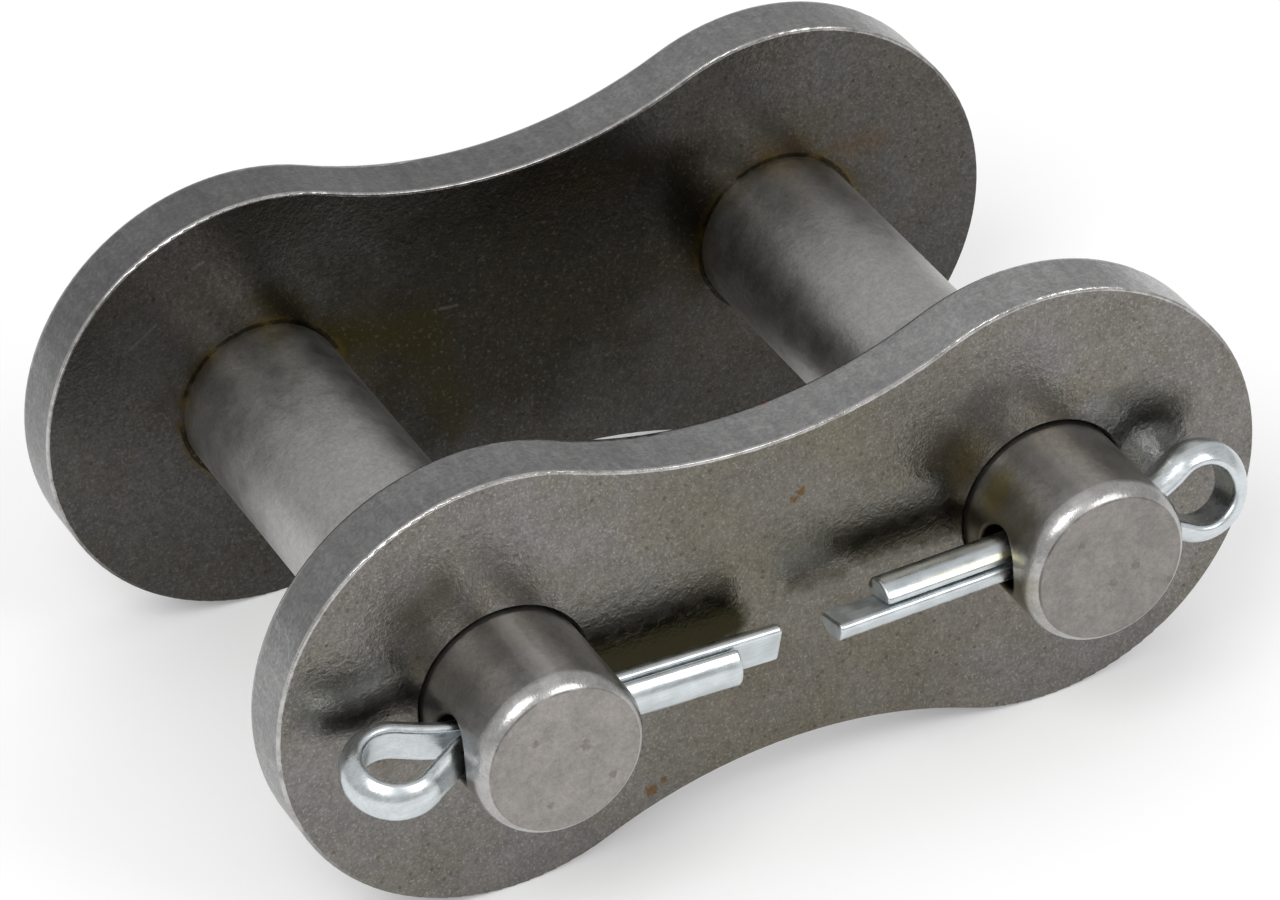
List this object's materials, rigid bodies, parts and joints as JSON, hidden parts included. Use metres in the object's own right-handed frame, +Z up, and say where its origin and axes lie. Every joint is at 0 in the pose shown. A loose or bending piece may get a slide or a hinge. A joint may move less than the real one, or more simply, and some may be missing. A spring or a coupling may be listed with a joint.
{
  "type": "chain connecting link",
  "caption": "Cottered connecting link for heavy roller chain: a rear plate with riveted pins, a slip-on cover plate and a split cotter through each pin's free end.",
  "frame": {"origin": "on the ground under the middle of the link: midway between the pins, and midway between the free and the riveted ends of the pins", "axes": "+X along the pitch, from the left pin to the right pin; +Y along the pins, from the cotters to the riveted ends; +Z up, the link standing on the round lower edges of its plates"},
  "size_m": [0.0574, 0.0428, 0.0257],
  "materials": {
    "plate": "dark heat-treated and oiled punched steel",
    "pin": "ground and tumbled steel",
    "cotter": "bright zinc plating"
  },
  "bodies": {
    "rear": {"rear_plate": "plate", "left_pin": "pin", "right_pin": "pin"},
    "cover": {"cover_plate": "plate"},
    "left_cotter_body": {"left_cotter": "cotter"},
    "right_cotter_body": {"right_cotter": "cotter"}
  },
  "joints": [
    {"name": "cover_slide", "type": "slide", "parent": "rear", "child": "cover", "axis": [0, 1, 0], "range_m": [0, 0.0267]},
    {"name": "left_cotter_pull", "type": "slide", "parent": "rear", "child": "left_cotter_body", "axis": [-0.9989, 0, 0.0462], "range_m": [0, 0.022]},
    {"name": "right_cotter_pull", "type": "slide", "parent": "rear", "child": "right_cotter_body", "axis": [1, 0, 0.0092], "range_m": [0, 0.022]}
  ]
}
